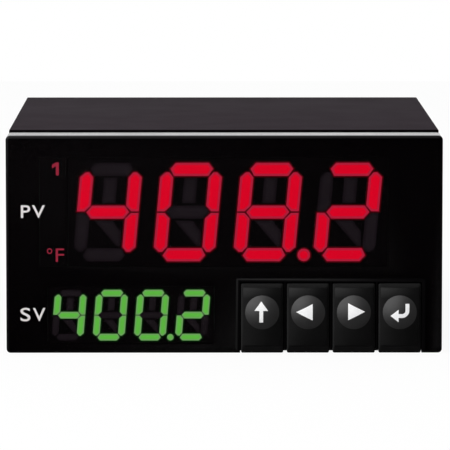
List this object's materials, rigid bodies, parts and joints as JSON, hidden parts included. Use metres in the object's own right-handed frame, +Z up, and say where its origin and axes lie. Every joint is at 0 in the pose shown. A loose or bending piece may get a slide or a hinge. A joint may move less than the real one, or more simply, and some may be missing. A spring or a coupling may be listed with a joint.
{
  "type": "pid temperature controller",
  "caption": "Panel-mount temperature controller with an upper and a lower digit display, hinged keys, a clamping sleeve and plug-in rear terminals.",
  "frame": {"origin": "centre of the panel cutout, in the plane of the panel's front face, where the gasket seats", "axes": "+Y from the front to the rear, +Z up, +X to the right as seen from the front"},
  "size_m": [0.096, 0.1284, 0.048],
  "materials": {
    "bezel_plastic": "polished black moulding",
    "smoked_window": "polished, dark and clear",
    "gasket_rubber": "matt closed-cell foam rubber",
    "key_plastic": "satin black moulding",
    "switch_plastic": "matt",
    "display_plastic": "matt dark grey face",
    "red_light": "lit segment",
    "green_light": "lit segment",
    "dark_segment": "unlit segment",
    "board": "glass epoxy with green lacquer",
    "plated_steel": "zinc plated",
    "tinned_brass": "tinned",
    "case_plastic": "fine spark texture",
    "sleeve_plastic": "fine spark texture",
    "terminal_plastic": "moulded green",
    "component_black": "matt",
    "transformer_steel": "lacquered laminations"
  },
  "bodies": {
    "controller": {"front_bezel": "bezel_plastic", "display_window": "smoked_window", "panel_gasket": "gasket_rubber", "tact_switch_bodies": "switch_plastic", "display_board": "board", "board_screws": "plated_steel", "pv_display_body": "display_plastic", "pv_segments_lit": "red_light", "pv_segments_unlit": "dark_segment", "sv_display_body": "display_plastic", "sv_segments_lit": "green_light", "sv_segments_unlit": "dark_segment", "annunciator_bar": "display_plastic", "annunciator_windows": "red_light", "display_pins": "tinned_brass", "case": "case_plastic", "rear_panel": "case_plastic", "main_board": "board", "output_board": "board", "link_connectors": "component_black", "power_transformer": "transformer_steel", "bulk_capacitor": "component_black", "mains_fuse": "component_black", "output_relays": "component_black", "processor_chip": "component_black", "isolation_chips": "component_black", "usb_shell": "plated_steel", "usb_tongue": "component_black", "input_header": "terminal_plastic", "input_header_pins": "tinned_brass", "power_header": "terminal_plastic", "power_header_pins": "tinned_brass", "output_header": "terminal_plastic", "output_header_pins": "tinned_brass"},
    "key_up": {"key_up": "key_plastic"},
    "plunger_up": {"switch_plunger_up": "switch_plastic"},
    "key_left": {"key_left": "key_plastic"},
    "plunger_left": {"switch_plunger_left": "switch_plastic"},
    "key_right": {"key_right": "key_plastic"},
    "plunger_right": {"switch_plunger_right": "switch_plastic"},
    "key_enter": {"key_enter": "key_plastic"},
    "plunger_enter": {"switch_plunger_enter": "switch_plastic"},
    "sleeve": {"mounting_sleeve": "sleeve_plastic"},
    "input_plug": {"input_plug": "terminal_plastic", "input_plug_clamps": "plated_steel", "input_plug_screws": "plated_steel"},
    "power_plug": {"power_plug": "terminal_plastic", "power_plug_clamps": "plated_steel", "power_plug_screws": "plated_steel"},
    "output_plug": {"output_plug": "terminal_plastic", "output_plug_clamps": "plated_steel", "output_plug_screws": "plated_steel"}
  },
  "joints": [
    {"name": "key_up_press", "type": "hinge", "parent": "controller", "child": "key_up", "pos_m": [0.00835, -0.008, -0.0098], "axis": [1, 0, 0], "range_deg": [0, 3], "stiffness_Nm_per_rad": 0.1},
    {"name": "plunger_up_travel", "type": "slide", "parent": "controller", "child": "plunger_up", "axis": [0, 1, 0], "range_m": [0, 0.00031]},
    {"name": "key_left_press", "type": "hinge", "parent": "controller", "child": "key_left", "pos_m": [0.01845, -0.008, -0.0098], "axis": [1, 0, 0], "range_deg": [0, 3], "stiffness_Nm_per_rad": 0.1},
    {"name": "plunger_left_travel", "type": "slide", "parent": "controller", "child": "plunger_left", "axis": [0, 1, 0], "range_m": [0, 0.00031]},
    {"name": "key_right_press", "type": "hinge", "parent": "controller", "child": "key_right", "pos_m": [0.02855, -0.008, -0.0098], "axis": [1, 0, 0], "range_deg": [0, 3], "stiffness_Nm_per_rad": 0.1},
    {"name": "plunger_right_travel", "type": "slide", "parent": "controller", "child": "plunger_right", "axis": [0, 1, 0], "range_m": [0, 0.00031]},
    {"name": "key_enter_press", "type": "hinge", "parent": "controller", "child": "key_enter", "pos_m": [0.03865, -0.008, -0.0098], "axis": [1, 0, 0], "range_deg": [0, 3], "stiffness_Nm_per_rad": 0.1},
    {"name": "plunger_enter_travel", "type": "slide", "parent": "controller", "child": "plunger_enter", "axis": [0, 1, 0], "range_m": [0, 0.00031]},
    {"name": "sleeve_slide", "type": "slide", "parent": "controller", "child": "sleeve", "axis": [0, 1, 0], "range_m": [-0.0052, 0.11]},
    {"name": "input_plug_pull", "type": "slide", "parent": "controller", "child": "input_plug", "axis": [0, 1, 0], "range_m": [0, 0.03]},
    {"name": "power_plug_pull", "type": "slide", "parent": "controller", "child": "power_plug", "axis": [0, 1, 0], "range_m": [0, 0.03]},
    {"name": "output_plug_pull", "type": "slide", "parent": "controller", "child": "output_plug", "axis": [0, 1, 0], "range_m": [0, 0.03]}
  ],
  "couplings": [
    {"joint": "plunger_up_travel", "follows": "key_up_press", "m_per_rad": 0.0058},
    {"joint": "plunger_left_travel", "follows": "key_left_press", "m_per_rad": 0.0058},
    {"joint": "plunger_right_travel", "follows": "key_right_press", "m_per_rad": 0.0058},
    {"joint": "plunger_enter_travel", "follows": "key_enter_press", "m_per_rad": 0.0058}
  ]
}
